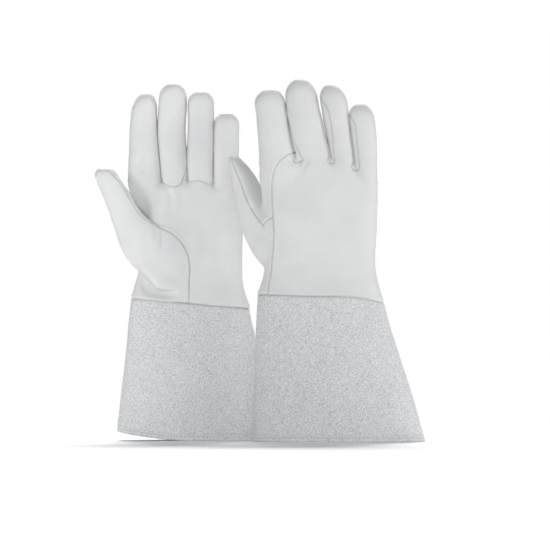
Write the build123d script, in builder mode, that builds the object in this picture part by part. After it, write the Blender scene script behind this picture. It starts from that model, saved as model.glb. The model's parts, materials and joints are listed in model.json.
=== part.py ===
from build123d import *
import os
from collections import namedtuple
from math import cos, radians, sin, tan

# A pair of long-cuffed welding gloves, standing on their cuffs with the fingers up.
# X runs across the pair, Y runs from the front glove to the rear one, Z is up, in millimetres.
# The origin is on the floor under the middle of the pair. The left glove is the rear one and
# shows its palm to the front (-Y). The right glove is the front one and shows its back.
# Both thumbs are on the -X side, so one glove is the other one mirrored through its own depth.

os.makedirs("parts", exist_ok=True)

# Leather
GRAIN_LEATHER = 1.1  # thickness of the soft grain leather of the hand
SPLIT_LEATHER = 1.5  # thickness of the split leather of the cuffs

# Room for the digits to bend
KNUCKLE_GAP = 0.4  # free height between the hand and each digit
NOTCH_SPARE = 1.5  # degrees that a knuckle notch opens past the digit's full bend
THUMB_CLEARANCE = 0.8  # free space between the thumb and the side of the hand
REACH = 60.0  # half the size of the cutting shapes, well past any digit
DEEP = 90.0  # half depth of the cuts that go right through a glove

# Shape of every digit: how far along each ring is, and how its size goes from root to tip
RING_PLACES = (0.0, 0.35, 0.72, 0.90, 0.97, 1.0)
TIP_ROUNDING = (0.84, 0.60, 0.32)  # the last three rings, as parts of the tip width

Ring = namedtuple("Ring", "height middle width depth")
Digit = namedtuple("Digit", "name base tip forward widths depths bend")
StubRing = namedtuple("StubRing", "below across forward width depth")
Glove = namedtuple(
    "Glove",
    "side palm plane wrist wrist_tilt hand back_seam wing_seam wing_top fingers thumb stub mouth lift",
)

# palm is the Y direction that the palm faces, plane is the Y of the glove's middle.
# base and tip are (x, z), forward is how far (base, tip) stand towards the palm.
LEFT = Glove(
    side="left",
    palm=-1,
    plane=30.5,
    wrist=Ring(134.0, -68.0, 114.0, 44.0),
    wrist_tilt=-4.8,
    hand=(
        Ring(152.0, -69.0, 105.0, 39.0),
        Ring(167.0, -67.5, 100.0, 37.0),
        Ring(205.0, -68.0, 102.0, 36.0),
        Ring(236.0, -73.0, 109.0, 32.0),
        Ring(262.0, -74.0, 109.0, 27.0),
    ),
    back_seam=((-114.0, 130.0), (-110.0, 165.0), (-111.0, 235.0), (-108.0, 247.0), (-97.0, 270.0)),
    wing_seam=-68.5,
    wing_top=((-74.0, 190.0), (-83.0, 200.0), (-95.0, 206.0), (-106.0, 214.0), (-170.0, 214.0)),
    fingers=(
        Digit("index", (-112.0, 250.0), (-111.5, 338.0), (0, 0), (31.0, 27.0, 25.0), (26.0, 23.0), 45.0),
        Digit("middle", (-84.0, 251.0), (-84.0, 347.5), (0, 0), (24.0, 25.5, 25.5), (26.0, 23.0), 45.0),
        Digit("ring", (-58.0, 250.0), (-59.0, 339.0), (0, 0), (24.0, 24.0, 24.0), (25.0, 22.0), 45.0),
        Digit("little", (-32.5, 250.0), (-32.5, 318.5), (0, 0), (24.5, 24.5, 23.5), (24.0, 21.0), 45.0),
    ),
    thumb=Digit("thumb", (-124.0, 205.0), (-153.0, 266.0), (13, 20), (33.0, 27.0, 24.0), (26.0, 22.0), 40.0),
    stub=(
        StubRing(0.0, 0.0, 0.0, 33.0, 26.0),
        StubRing(18.0, 2.5, -3.0, 40.0, 28.0),
        StubRing(33.0, 6.0, -7.0, 40.0, 30.0),
        StubRing(48.0, 12.0, -10.0, 34.0, 28.0),
    ),
    mouth=Ring(0.0, -58.5, 159.5, 70.0),
    lift=8.5,
)
RIGHT = Glove(
    side="right",
    palm=1,
    plane=-35.5,
    wrist=Ring(138.5, 59.0, 122.5, 46.0),
    wrist_tilt=-3.8,
    hand=(
        Ring(156.0, 58.5, 114.0, 41.0),
        Ring(170.0, 58.0, 106.0, 38.0),
        Ring(210.0, 58.0, 111.0, 38.0),
        Ring(246.0, 57.0, 113.0, 33.0),
        Ring(286.0, 56.0, 114.0, 26.0),
    ),
    back_seam=((7.0, 130.0), (10.5, 165.0), (13.0, 203.0), (11.0, 245.0), (14.0, 263.0), (36.0, 290.0)),
    wing_seam=58.0,
    wing_top=((52.0, 190.0), (43.0, 201.0), (30.0, 209.0), (10.0, 215.0), (10.0, 234.0), (-60.0, 234.0)),
    fingers=(
        Digit("index", (17.0, 268.0), (10.5, 339.5), (0, 0), (34.0, 30.0, 28.5), (26.0, 23.0), 45.0),
        Digit("middle", (51.5, 270.0), (37.5, 350.0), (0, 0), (31.0, 32.0, 30.0), (26.0, 23.0), 45.0),
        Digit("ring", (80.0, 268.0), (68.5, 344.0), (0, 0), (22.0, 23.5, 23.5), (25.0, 22.0), 45.0),
        Digit("little", (102.3, 266.0), (97.0, 326.0), (0, 0), (21.0, 21.5, 22.5), (24.0, 21.0), 45.0),
    ),
    thumb=Digit("thumb", (-6.0, 223.0), (-28.5, 274.0), (12, 20), (33.0, 28.0, 22.0), (26.0, 21.0), 30.0),
    stub=(
        StubRing(0.0, 0.0, 0.0, 33.0, 26.0),
        StubRing(20.0, 1.0, -3.0, 40.0, 28.0),
        StubRing(35.0, 1.5, -6.0, 40.0, 30.0),
        StubRing(48.0, 4.0, -8.0, 40.0, 30.0),
        StubRing(62.0, 8.0, -10.0, 34.0, 28.0),
    ),
    mouth=Ring(0.0, 75.7, 168.0, 60.0),
    lift=0.0,
)
LIFT_START = -60.0  # the raised side of the rear cuff leaves the floor here
CORNER_SHARE = 0.46  # corner radius of the hand and cuff sections, as a part of their depth


def finish(piece, label):
    """Names one piece and writes it."""
    piece.part.label = label
    export_step(piece.part, f"parts/{label}.step")


def digit_plane(glove, digit):
    """The knuckle plane: x along the hinge, z along the digit, y to the rear."""
    base = Vector(digit.base[0], glove.plane + glove.palm * digit.forward[0], digit.base[1])
    tip = Vector(digit.tip[0], glove.plane + glove.palm * digit.forward[1], digit.tip[1])
    along = (tip - base).normalized()
    hinge = Vector(along.Z, 0, -along.X).normalized()
    return Plane(origin=base, x_dir=hinge, z_dir=along), (tip - base).length


def digit_form(glove, digit, inset):
    """The whole digit as a solid, made smaller all round by inset."""
    plane, length = digit_plane(glove, digit)
    root, middle, end = digit.widths
    root_depth, end_depth = digit.depths
    widths = [root, middle, end] + [end * share for share in TIP_ROUNDING]
    depths = [root_depth, (root_depth + end_depth) / 2, end_depth]
    depths += [end_depth * share for share in TIP_ROUNDING]
    with BuildPart() as form:
        for place, width, depth in zip(RING_PLACES, widths, depths):
            with BuildSketch(plane.offset(place * (length - inset))):
                Ellipse(width / 2 - inset, depth / 2 - inset)
        loft(ruled=True)
    return form.part


def digit_shell(glove, digit):
    """The digit's leather tube, with the notch that lets it bend towards the palm."""
    plane, length = digit_plane(glove, digit)
    palmward = plane.y_dir * glove.palm
    notch_plane = Plane(origin=plane.origin, x_dir=palmward, z_dir=palmward.cross(plane.z_dir))
    rise = REACH * tan(radians(digit.bend + NOTCH_SPARE))
    with BuildPart() as shell:
        add(digit_form(glove, digit, 0.0))
        add(digit_form(glove, digit, GRAIN_LEATHER), mode=Mode.SUBTRACT)
        with BuildSketch(notch_plane):
            Polygon(
                (-REACH, -REACH),
                (REACH, -REACH),
                (REACH, KNUCKLE_GAP + rise),
                (0, KNUCKLE_GAP),
                (-REACH, KNUCKLE_GAP),
                align=None,
            )
        extrude(amount=REACH, both=True, mode=Mode.SUBTRACT)
    return shell.part


def cut_panel(glove, digit, shell, name, start, stop):
    """One leather panel of a digit: the part of its tube between two directions."""
    plane, length = digit_plane(glove, digit)
    turns = [start + 45 * step for step in range(int((stop - start) / 45) + 1)]
    fan = [(REACH * cos(radians(turn)), REACH * sin(radians(turn))) for turn in turns]
    with BuildPart() as panel:
        add(shell)
        with BuildSketch(plane):
            Polygon((0, 0), *fan, align=None)
        extrude(amount=length + REACH, mode=Mode.INTERSECT)
    finish(panel, f"{glove.side}_{digit.name}_{name}")


def make_digits(glove):
    """Every digit's panels. 0 degrees is the little-finger side, 90 is the rear."""
    front = 90 * glove.palm
    outer_half = (0, 135) if glove.palm > 0 else (-135, 0)
    inner_half = (-135, 0) if glove.palm > 0 else (0, 135)
    panels = {
        "index": [("wrap", 45, 315), ("fourchette", -45, 45)],
        "middle": [
            ("front", front - 45, front + 45),
            ("back", -front - 45, -front + 45),
            ("inner_fourchette", 135, 225),
            ("outer_fourchette", -45, 45),
        ],
        "little": [
            ("front", *outer_half),
            ("back", *inner_half),
            ("fourchette", 135, 225),
        ],
        "thumb": [("wrap", 45, 315), ("inner_strip", -45, 45)],
    }
    panels["ring"] = panels["middle"]
    for digit in glove.fingers + (glove.thumb,):
        shell = digit_shell(glove, digit)
        for name, start, stop in panels[digit.name]:
            cut_panel(glove, digit, shell, name, start, stop)


def level_plane(glove, ring):
    return Plane(origin=(ring.middle, glove.plane, ring.height))


def wrist_plane(glove):
    """The sloping plane where the hand is sewn to the cuff."""
    tilt = radians(glove.wrist_tilt)
    return Plane(
        origin=(glove.wrist.middle, glove.plane, glove.wrist.height),
        x_dir=(cos(tilt), 0, sin(tilt)),
        z_dir=(-sin(tilt), 0, cos(tilt)),
    )


def hand_form(glove, inset):
    """The hand from the wrist to above the knuckles, with the root of the thumb."""
    thumb_plane, _ = digit_plane(glove, glove.thumb)
    with BuildPart() as form:
        with BuildSketch(wrist_plane(glove)):
            rounded_section(glove.wrist, inset)
        for ring in glove.hand:
            with BuildSketch(level_plane(glove, ring)):
                rounded_section(ring, inset)
        loft(ruled=True)
        for ring in glove.stub:
            with BuildSketch(thumb_plane.offset(-ring.below)):
                with Locations((ring.across, glove.palm * ring.forward)):
                    Ellipse(ring.width / 2 - inset, ring.depth / 2 - inset)
        loft(ruled=True)
        add(digit_form(glove, glove.thumb, -THUMB_CLEARANCE - inset), mode=Mode.SUBTRACT)
    return form.part


def rounded_section(ring, inset):
    """A level section with round ends, made smaller all round by inset."""
    RectangleRounded(
        ring.width - 2 * inset,
        ring.depth - 2 * inset,
        ring.depth * CORNER_SHARE - inset,
    )


def knuckle_line(glove):
    """The line of the knuckles in (x, z), from the index finger to the little finger."""
    line = []
    for digit in glove.fingers:
        plane, _ = digit_plane(glove, digit)
        for end in (-0.5, 0.5):
            corner = plane.origin + plane.x_dir * (end * digit.widths[0])
            line.append((corner.X, corner.Z))
    return line


def make_hand(glove):
    """The palm panel, the back panel and the thumb wing, sewn edge to edge."""
    front = Plane(origin=(0, glove.plane, 0), x_dir=(1, 0, 0), z_dir=(0, -1, 0))
    line = knuckle_line(glove)
    top = glove.hand[-1].height + REACH
    left = line[0][0] - REACH
    right = line[-1][0] + REACH
    back_side = glove.palm * DEEP  # the sketch plane looks along +Y, so the back is this way
    with BuildPart() as shell:
        add(hand_form(glove, 0.0))
        add(hand_form(glove, GRAIN_LEATHER), mode=Mode.SUBTRACT)
        with BuildSketch(front):
            Polygon((left, line[0][1]), *line, (right, line[-1][1]), (right, top), (left, top), align=None)
        extrude(amount=DEEP, both=True, mode=Mode.SUBTRACT)
    with BuildPart() as back:
        add(shell.part)
        with BuildSketch(front):
            seam = glove.back_seam
            Polygon(*seam, (seam[-1][0], top), (right, top), (right, 0), (seam[0][0], 0), align=None)
        extrude(amount=back_side, mode=Mode.INTERSECT)
    with BuildPart() as rest:
        add(shell.part)
        add(back.part, mode=Mode.SUBTRACT)
    with BuildPart() as wing_cut:
        with BuildSketch(front):
            far = glove.wing_top[-1]
            Polygon((glove.wing_seam, 0), (glove.wing_seam, glove.wing_top[0][1] - 14),
                    *glove.wing_top, (far[0], 0), align=None)
        extrude(amount=DEEP, both=True)
    with BuildPart() as wing:
        add(rest.part)
        add(wing_cut.part, mode=Mode.INTERSECT)
    with BuildPart() as palm:
        add(rest.part)
        add(wing_cut.part, mode=Mode.SUBTRACT)
    finish(back, f"{glove.side}_back_panel")
    finish(wing, f"{glove.side}_thumb_wing")
    finish(palm, f"{glove.side}_palm_panel")


def cuff_form(glove, inset):
    with BuildPart() as form:
        with BuildSketch(level_plane(glove, glove.mouth)):
            rounded_section(glove.mouth, inset)
        with BuildSketch(wrist_plane(glove)):
            rounded_section(glove.wrist, inset)
        loft(ruled=True)
    return form.part


def make_cuff(glove):
    """The front and back cuff panels, joined by a seam down each side."""
    with BuildPart() as shell:
        add(cuff_form(glove, 0.0))
        add(cuff_form(glove, SPLIT_LEATHER), mode=Mode.SUBTRACT)
        if glove.lift:
            outside = glove.mouth.middle - glove.mouth.width / 2
            with BuildSketch(Plane.XZ.offset(DEEP)):
                with BuildLine():
                    RadiusArc((LIFT_START, 0), (outside, glove.lift), lift_radius(glove, outside))
                    Polyline((outside, glove.lift), (outside - REACH, glove.lift),
                             (outside - REACH, -REACH), (LIFT_START, -REACH), (LIFT_START, 0))
                make_face()
            extrude(amount=-2 * DEEP, mode=Mode.SUBTRACT)
    for name, direction in (("front", glove.palm), ("back", -glove.palm)):
        with BuildPart() as half:
            add(shell.part)
            with BuildSketch(Plane.XZ.offset(-glove.plane)):
                Rectangle(8 * REACH, 8 * REACH)
            extrude(amount=-direction * DEEP, mode=Mode.INTERSECT)
        finish(half, f"{glove.side}_cuff_{name}")


def lift_radius(glove, outside):
    """Radius of the arc that leaves the floor level at LIFT_START and rises by lift."""
    run = LIFT_START - outside
    return (run * run + glove.lift * glove.lift) / (2 * glove.lift)


for glove in (LEFT, RIGHT):
    make_digits(glove)
    make_hand(glove)
    make_cuff(glove)
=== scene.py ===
import json
import math

import bpy
import numpy as np
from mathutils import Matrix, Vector, kdtree


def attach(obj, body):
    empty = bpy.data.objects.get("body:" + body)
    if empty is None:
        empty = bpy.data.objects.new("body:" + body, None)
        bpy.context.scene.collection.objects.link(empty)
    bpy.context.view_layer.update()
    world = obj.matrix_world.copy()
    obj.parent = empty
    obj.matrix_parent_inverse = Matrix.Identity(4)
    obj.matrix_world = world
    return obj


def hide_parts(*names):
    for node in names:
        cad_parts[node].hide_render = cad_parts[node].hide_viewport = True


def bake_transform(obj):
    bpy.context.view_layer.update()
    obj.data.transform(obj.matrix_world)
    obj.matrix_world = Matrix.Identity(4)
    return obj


# A pair of welding gloves: grain-leather hands and napped split-leather cuffs.
# Everything is worked out in millimetres in the frame's own axes, with one change: depth is
# measured from each glove's middle plane towards its palm, and called h. The left and the
# right glove then have the same shape rules. Meshes are turned into metres when they are made.

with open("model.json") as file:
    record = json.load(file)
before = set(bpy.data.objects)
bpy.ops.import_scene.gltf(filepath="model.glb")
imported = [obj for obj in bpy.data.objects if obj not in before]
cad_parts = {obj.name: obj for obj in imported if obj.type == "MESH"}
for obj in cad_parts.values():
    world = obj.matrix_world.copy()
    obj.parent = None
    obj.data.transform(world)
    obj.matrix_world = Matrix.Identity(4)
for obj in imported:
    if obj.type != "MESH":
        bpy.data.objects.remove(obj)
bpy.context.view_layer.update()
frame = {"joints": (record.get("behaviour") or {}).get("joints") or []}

MM = 0.001

# The hand's surface
GRID = 1.5  # spacing of the grid that it is drawn from
GRID_LOW = 118.0  # where the grid starts, below the wrist seam
GRID_DEPTH = (-30.0, 42.0)  # from behind the hand to past the thumb
FAR = 60.0  # a distance that means "nowhere near"
SLIT = 4.6  # how far neighbouring fingers are held apart while the surface is made
SLIT_RISE = 6.0  # height over which they come apart, above the crotch
THUMB_SLIT = 2.6  # how far the thumb is held off the hand meanwhile
SWELL = 1.0  # how far a side strip stands out between its two seams
SWELL_TAPER = 0.7  # share of the swell that is gone at the fingertip
ROOT_INSET = 3.0  # how far a finger's root draws in, inside the hand
HAND_POWER = 2.6  # how square the hand's section is: 2 is an ellipse
DIGIT_POWER = 2.4  # the same of a finger or thumb
THUMB_FLAT = 1.1  # how flat the thumb's inner back face is: 0 keeps it round
FINGER_SOFT = 0.5  # how softly neighbouring fingers join where they touch
KNUCKLE_SOFT = 4.5  # how softly the fingers join the body of the hand
RELIEF_REACH = 7.0  # how near the surface the folds and hollows are worked out
UNEVEN = ((0.30, 46.0), (0.12, 17.0))  # (depth, size) of the slow and the quick unevenness
BALL_FOLD = 8.0  # how deep the leather falls back under the ball of the left thumb
BALL_RISE = 3.0  # how far the ball stands out above that fold

# Where the seams of the hand run
CUT_REACH = 9.0  # how near a seam's line a point has to be for the seam to be cut beside it
TIP_SEAM = 0.6  # how far the seam at a fingertip lies towards the palm, as a share of the depth
STRIP_RADIUS = 12.0  # turns angles round a digit into millimetres
# On the back (-1) and the palm side (1): how far the strips pass below the crotch, how softly
# they end there, and the radius of the loop round it
STRIP_ENDS = {-1: (2.4, 3.0, 2.9), 1: (0.8, 0.5, 0.8)}

# What the seams look like
FINER = ((1.1, 3.2), (0.8, 1.8), (0.6, 0.9))  # longest edge of the mesh within a reach of a seam
SEAM_DEPTH = 0.75  # how deep a turned seam sits between its two edges
SEAM_WIDTH = 0.6
SEAM_LINE = 0.42  # width of its dark line
DRAW_DEPTH = 0.40  # how far the thread draws in the leather round it
DRAW_WIDTH = 2.0
RIDGE = 0.60  # how proud the side stands that carries the seam allowance
RIDGE_PLACE = 2.0  # how far beside the seam it stands
RIDGE_WIDTH = 1.1
PUCKER = 0.10  # how much the leather puckers beside a seam
PUCKER_WIDTH = 3.6
FINGER_TIP_SEAM = 0.30  # share of a seam's depth that is left over a fingertip
THUMB_TIP_SEAM = 0.12
THUMB_PAINTED_SHADE = 0.80  # how dark the painted shade on the thumb's inner face is, as a share of a seam's grey
FOLD_PAINTED_SHADE = 0.50  # the same painted shade under the ball of the left thumb
DART_DEPTH = 0.7  # the small dimple on the index fingertip
DART_WIDTH = 0.8

# Cuffs
SPLIT = 1.6  # thickness of the split leather
CUFF_STEP = 1.5  # spacing of the cuff's points
CUFF_TALL = 132.0  # height that the spacing is worked out for
HEM_WIDTH = 13.0  # how far the folded hem reaches up inside
HEM_BEND = 1.5  # radius of the fold
HEM_LIFT_START = -60.0  # the x where the left glove's edge starts to rise off the floor
HEM_STITCH = 5.2  # height of the hem's stitches above the edge
HEM_STEP = 0.35  # how far the leather steps in above the hem
CUFF_WAVE = 1.7  # how far the cuff's slow waves go in
STITCH_PITCH = 2.5
STITCH_HALF = 0.84  # half the length of a stitch
STITCH_SIDES = 6
THREAD_RADIUS = 0.50
# (place along the stitch, thickness, height over the leather) of each ring of a stitch
STITCH_RINGS = ((-1.0, 0.25, -0.45), (-0.82, 0.75, -0.12), (0.0, 1.0, 0.26), (0.82, 0.75, -0.12),
                (1.0, 0.25, -0.45))


# ---- small number helpers


def smooth_step(value, low, high):
    share = np.clip((value - low) / (high - low), 0.0, 1.0)
    return share * share * (3.0 - 2.0 * share)


def smooth_curve(where, points, column=1):
    """A smooth curve through the points, read at `where` against their first column."""
    places = np.array([p[0] for p in points], float)
    values = np.array([p[column] for p in points], float)
    slopes = np.gradient(values, places)
    index = np.clip(np.searchsorted(places, where) - 1, 0, len(places) - 2)
    width = places[index + 1] - places[index]
    t = np.clip((where - places[index]) / width, 0.0, 1.0)
    return (
        (1 + 2 * t) * (1 - t) ** 2 * values[index]
        + t * (1 - t) ** 2 * width * slopes[index]
        + t * t * (3 - 2 * t) * values[index + 1]
        + t * t * (t - 1) * width * slopes[index + 1]
    )


def bell(distance, width):
    """1 at no distance, fading to 0 over the width."""
    return np.exp(-((distance / width) ** 2))


def hill(x, z, centre, size):
    """1 at the centre, fading to 0 over size = (across, up)."""
    return np.exp(-(((x - centre[0]) / size[0]) ** 2) - ((z - centre[1]) / size[1]) ** 2)


def line_distance(x, z, points):
    """Signed distance from an open line in (x, z): positive on its right-hand side."""
    best = np.full(np.shape(x), 1e9)
    side = np.ones(np.shape(x))
    for (ax, az), (bx, bz) in zip(points[:-1], points[1:]):
        ux, uz = bx - ax, bz - az
        share = np.clip(((x - ax) * ux + (z - az) * uz) / (ux * ux + uz * uz), 0.0, 1.0)
        dx, dz = x - ax - share * ux, z - az - share * uz
        distance = np.hypot(dx, dz)
        turn = ux * (z - az) - uz * (x - ax)
        nearer = distance < best - 1e-9
        best = np.where(nearer, distance, best)
        side = np.where(nearer, np.where(turn > 0, -1.0, 1.0), side)
    return best * side


def rounded_line(points, steps=5):
    """The points of a line joined by a smooth curve."""
    path = np.array(points, float)
    run = np.concatenate([[0.0], np.cumsum(np.hypot(*np.diff(path, axis=0).T))])
    fine = np.linspace(0.0, run[-1], steps * (len(points) - 1) + 1)
    columns = [smooth_curve(fine, list(zip(run, path[:, k]))) for k in (0, 1)]
    return [tuple(p) for p in np.array(columns).T]


def seam_side(x, z, points):
    """Signed distance from the smooth line through the points: positive on its right-hand side."""
    return line_distance(x, z, rounded_line(points, 3))


def soft_noise(x, y, z, scale, seed):
    """A slow, repeatable ripple between about -1 and 1, made of a few crossing waves."""
    maker = np.random.default_rng(seed)
    total = np.zeros(np.shape(x))
    for _ in range(7):
        way = maker.normal(size=3)
        way /= np.linalg.norm(way)
        pace = 2 * math.pi / (scale * maker.uniform(0.7, 1.6))
        total = total + np.sin((x * way[0] + y * way[1] + z * way[2]) * pace + maker.uniform(0, 6.28))
    return total / 3.2


# ---- the two gloves

# outline: (height, left edge, right edge). depth: (height, back, palm side), measured as h.
# hollows: (side, depth, centre, size), and folds: (side, width, depth, line), where side is 1 on
# the palm and -1 on the back, and a negative depth stands out. seeds: of the slow and the quick
# unevenness of the hand, and of the cuff.
# Strips: how far round the side strips reach, in degrees, as (height share, back, palm side).
# The thumb's strip has its palm side only, because a line gives the other one.

PLAIN_STRIP = ((0, 30, 8), (0.5, 27, 8), (0.82, 22, 6), (0.95, 0, 0), (1.3, 0, 0))
WIDE_STRIP = ((0, 62, 8), (0.35, 52, 8), (0.7, 46, 6), (0.93, 0, 0), (1.3, 0, 0))
CROSSED_STRIP = ((0, 52, 8), (0.09, 48, 8), (0.25, 32, 8), (0.43, 14, 8), (0.62, 6, 6), (0.93, 0, 0),
    (1.3, 0, 0))
RISING_STRIP = ((0, 38, 8), (0.17, 46, 8), (0.35, 57, 8), (0.52, 62, 8), (0.72, 54, 6), (0.95, 12, 0),
    (1.3, 0, 0))
FALLING_STRIP = ((0, 57, 8), (0.4, 55, 8), (0.75, 52, 6), (0.95, 30, 0), (1.3, 0, 0))
THUMB_STRIP = ((0, 30), (0.2, 40), (0.5, 41), (0.8, 28), (1, 8), (1.3, 0))


class Digit:
    """A finger or the thumb, with the strips on its left (-1) and right (1) side."""

    def __init__(self, name, cap, slant, cap_power, inner, outer, outline, depth):
        self.name = name
        self.cap = cap  # length of the rounded end
        self.slant = slant  # how much the end leans, height per width
        self.cap_power = cap_power  # 2 for a round end, more for a squarer one
        self.strips = {-1: inner, 1: outer}
        self.outline = outline
        self.depth = depth


LEFT = {
    "side": "left",
    "palm": -1,
    "hand": ((118, -132, -4.4), (134, -127.2, -11.6), (150, -122.2, -16.6), (166, -117.4, -17.6),
        (190, -116, -17.4), (210, -117, -17), (232, -124, -18.2), (246, -128.2, -19.2),
        (262, -128.5, -19.6)),
    "hand_depth": ((118, -23, 23), (134, -22, 22), (150, -19.5, 19.5), (166, -18.5, 18), (190, -18, 18),
        (210, -17.5, 17.5), (232, -15.5, 15), (246, -13.5, 13.2), (262, -12.5, 12.5)),
    "hand_top": ((-135, 243), (-112, 249), (-95, 250.5), (-70, 252), (-46, 249), (-32, 246), (-15, 243)),
    "wrist": ((-140, 140), (-124.5, 138.7), (-104.8, 136.4), (-68.9, 133.6), (-48.5, 131.3),
        (-10.9, 129.2), (5, 128.5)),
    "crotches": ((-95.7, 252), (-70.7, 253.5), (-45.6, 250)),
    "fingers": (
        Digit("index", 17, -0.06, 2.05, None, PLAIN_STRIP,
              ((225, -124, -96), (250, -128.4, -95.9), (268, -128.3, -97.4), (285, -127.8, -99.1),
               (302, -127.1, -100.2), (318, -125.6, -100.6), (338, -122.8, -99.6)),
              ((225, -13, 12.5), (252, -13, 12.5), (285, -11.5, 13), (338, -7.5, 15))),
        Digit("middle", 14, 0, 2.1, WIDE_STRIP, PLAIN_STRIP,
              ((225, -95.5, -71), (252, -95.7, -71), (268, -97.2, -71.3), (285, -98.9, -72),
               (300, -99.8, -73.2), (310, -99.7, -73), (322, -99, -72), (348, -97.2, -71.8)),
              ((225, -13, 12.5), (252, -13, 12.5), (290, -11.5, 13), (347, -7, 15.5))),
        Digit("ring", 12.5, 0, 2.15, WIDE_STRIP, PLAIN_STRIP,
              ((225, -70.5, -46), (252, -70.8, -45.9), (270, -71, -45.8), (284, -70.6, -45.6),
               (300, -69.8, -45.4), (318, -69.8, -45.3), (340, -70.2, -45.6)),
              ((225, -12.5, 12), (252, -12.5, 12), (285, -11, 12.5), (339, -7, 14.5))),
        Digit("little", 13, 0, 2.1, WIDE_STRIP, None,
              ((225, -45.4, -18), (250, -45.6, -19.4), (272, -45.5, -20.2), (290, -45.3, -20.2),
               (304, -45.1, -20), (319, -44.6, -20.4)),
              ((225, -12, 11.5), (250, -12, 11.5), (280, -10.8, 11.5), (318, -7.5, 13))),
    ),
    "thumb": Digit("thumb", 9.5, 0.30, 2.2, None, None,
          ((-52, -6, 30), (-40, -11.1, 36), (-32, -14.6, 37), (-23, -17.2, 35), (-11, -17.7, 28),
           (3, -16.2, 19.4), (18, -14.3, 16.2), (32, -12.7, 14), (44, -11.8, 11.6), (56, -11.2, 9.8),
           (66, -10.6, 9)),
          ((-52, -12, 16), (-32, -16, 15), (-11, -15, 13.5), (3, -13, 12.5), (32, -11, 11),
           (66, -9.5, 9.5))),
    "thumb_end": 66.6,
    "thumb_lean": ((-52, 3), (-32, 7), (-11, 11.5), (3, 14), (32, 18.5), (66, 22)),
    "back_seam": ((-118, 120), (-114, 143), (-110.5, 165), (-112, 200), (-115, 228), (-113, 240),
        (-107, 249), (-99, 254), (-95.7, 256), (-95.7, 270)),
    "wing_seam": ((-68.5, 120), (-68.8, 150), (-68.7, 175.6), (-70.7, 182.7), (-74.4, 190),
        (-80.6, 197.6), (-88, 203.2), (-95.4, 206.4), (-107, 214), (-118, 226), (-130, 244)),
    "web_point": (-117.5, 207),
    "dart": (-122.7, 325),
    "web_seam": ((-100, 217), (-110, 215.5), (-114, 212.5), (-117.5, 207), (-128, 198)),
    "thumb_line": ((-8, 10), (0, 7.5), (8, 3), (18, 0.6), (31, -0.4), (48, -0.2), (58, 0.6), (68, 1.2)),
    "base_seams": {
        1: ((-98, 253.5), (-96, 251.6), (-90, 248.4), (-84.6, 247), (-79.5, 248), (-76.4, 250.4),
            (-74.4, 254.5), (-72.4, 260.5), (-70, 268)),
        2: ((-74, 251), (-70.8, 251.6), (-66, 252.4), (-60.5, 252.8), (-54, 251.2), (-46.8, 248),
            (-43, 246.5)),
    },
    "cuff_left": ((0, -140), (9, -139.4), (73, -133.4), (119, -128.6), (139, -126.2)),
    "cuff_right": ((0, 21), (60, 7.5), (109, -5.6), (129, -10.7)),
    "cuff_depth": ((0, 35), (70, 28.5), (134, 22)),
    "hem_lift": 8.5,
    "seeds": (3, 5, 31),
    "ball_fold": ((-122, 171), (-116, 163.5), (-110, 157.5), (-105, 152.5), (-101, 148.5),
        (-95, 146.5), (-84, 146), (-74, 147)),
    "hollows": (
        (1, 4.2, (-112, 233), (11, 15)), (1, 1.3, (-116, 262), (9, 16)), (1, 1.4, (-72, 214), (20, 20)),
        (1, -1.1, (-88, 240), (9, 9)), (-1, 1, (-83, 236), (10, 12)),
    ),
    "folds": (
        (1, 2.4, 2, ((-91, 247), (-87, 239), (-86, 230), (-89, 221))),
        (1, 1.7, 2.3, ((-94, 206.5), (-95.5, 198), (-95, 187))),
        (1, 1.6, 1.5, ((-89, 204), (-91.5, 198), (-92.5, 191))),
        (1, 2.4, 1.3, ((-100, 209), (-101, 202), (-99, 193))),
        (1, 4, 1.3, ((-127, 262), (-118, 268), (-112, 280))),
        (1, 2.8, 1.3, ((-90, 262), (-87, 270), (-86, 280))),
        (-1, 4, 1, ((-104, 176), (-92, 181), (-80, 182))),
        (-1, 4, 0.9, ((-40, 160), (-56, 158), (-72, 161))),
    ),
}

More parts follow.
